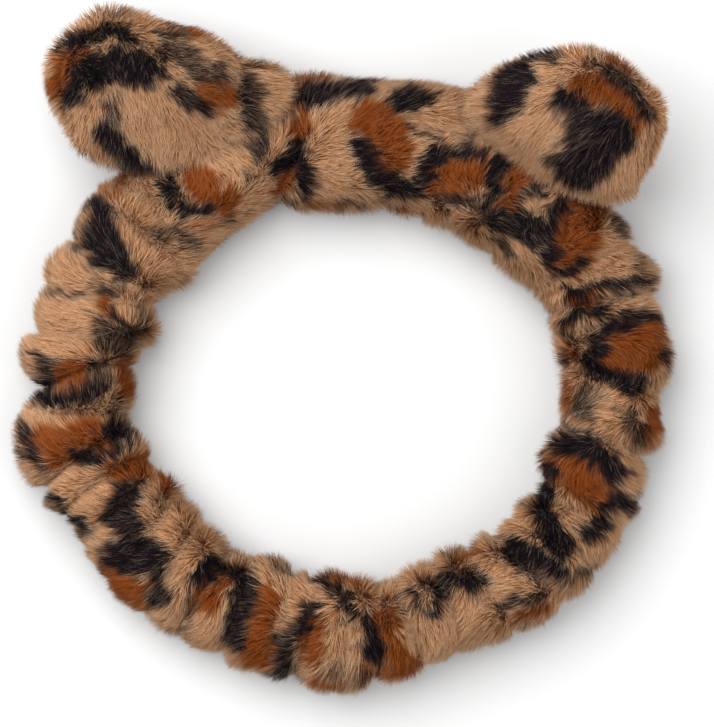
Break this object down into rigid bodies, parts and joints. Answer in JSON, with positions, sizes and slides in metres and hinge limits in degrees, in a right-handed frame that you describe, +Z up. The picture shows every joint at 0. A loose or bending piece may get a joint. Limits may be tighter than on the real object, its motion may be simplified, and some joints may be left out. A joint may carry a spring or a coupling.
{
  "type": "animal ears headband",
  "caption": "Soft closed-loop headband in leopard-print fur with a padded front, two stuffed rounded ears and an elasticated gathered back.",
  "frame": {"origin": "middle of the head opening, level with the surface the headband lies on", "axes": "+Z up, through the head opening; +Y towards the padded front and its ears; +X to the right seen from above"},
  "size_m": [0.2287, 0.2522, 0.0658],
  "materials": {
    "leopard_fur": "matte",
    "sewing_thread": "matte",
    "white_wadding": "matte",
    "woven_elastic": "matte"
  },
  "bodies": {
    "front_band": {"front_cover": "leopard_fur", "front_padding": "white_wadding", "front_closing_seam": "sewing_thread", "left_join_seam": "sewing_thread", "right_join_seam": "sewing_thread", "left_elastic_tack": "sewing_thread", "right_elastic_tack": "sewing_thread", "left_ear_base_stitches": "sewing_thread", "right_ear_base_stitches": "sewing_thread"},
    "left_ear": {"left_ear_front_panel": "leopard_fur", "left_ear_back_panel": "leopard_fur", "left_ear_edge_seam": "sewing_thread", "left_ear_filling": "white_wadding"},
    "right_ear": {"right_ear_front_panel": "leopard_fur", "right_ear_back_panel": "leopard_fur", "right_ear_edge_seam": "sewing_thread", "right_ear_filling": "white_wadding"},
    "back_band": {"gathered_sleeve": "leopard_fur", "sleeve_closing_seam": "sewing_thread", "elastic_strip": "woven_elastic"}
  },
  "joints": [
    {"name": "left_ear_flop", "type": "hinge", "parent": "front_band", "child": "left_ear", "pos_m": [-0.05881, 0.09002, 0.0315], "axis": [0.8572, 0.515, 0], "range_deg": [-20, 92], "stiffness_Nm_per_rad": 0.08},
    {"name": "right_ear_flop", "type": "hinge", "parent": "front_band", "child": "right_ear", "pos_m": [0.07186, 0.08088, 0.0315], "axis": [0.7771, -0.6293, 0], "range_deg": [-50, 62], "stiffness_Nm_per_rad": 0.08},
    {"name": "band_stretch", "type": "slide", "parent": "front_band", "child": "back_band", "axis": [0, -1, 0], "range_m": [0, 0.06], "stiffness_N_per_m": 150, "deforming": ["gathered_sleeve", "elastic_strip", "sleeve_closing_seam"]}
  ]
}
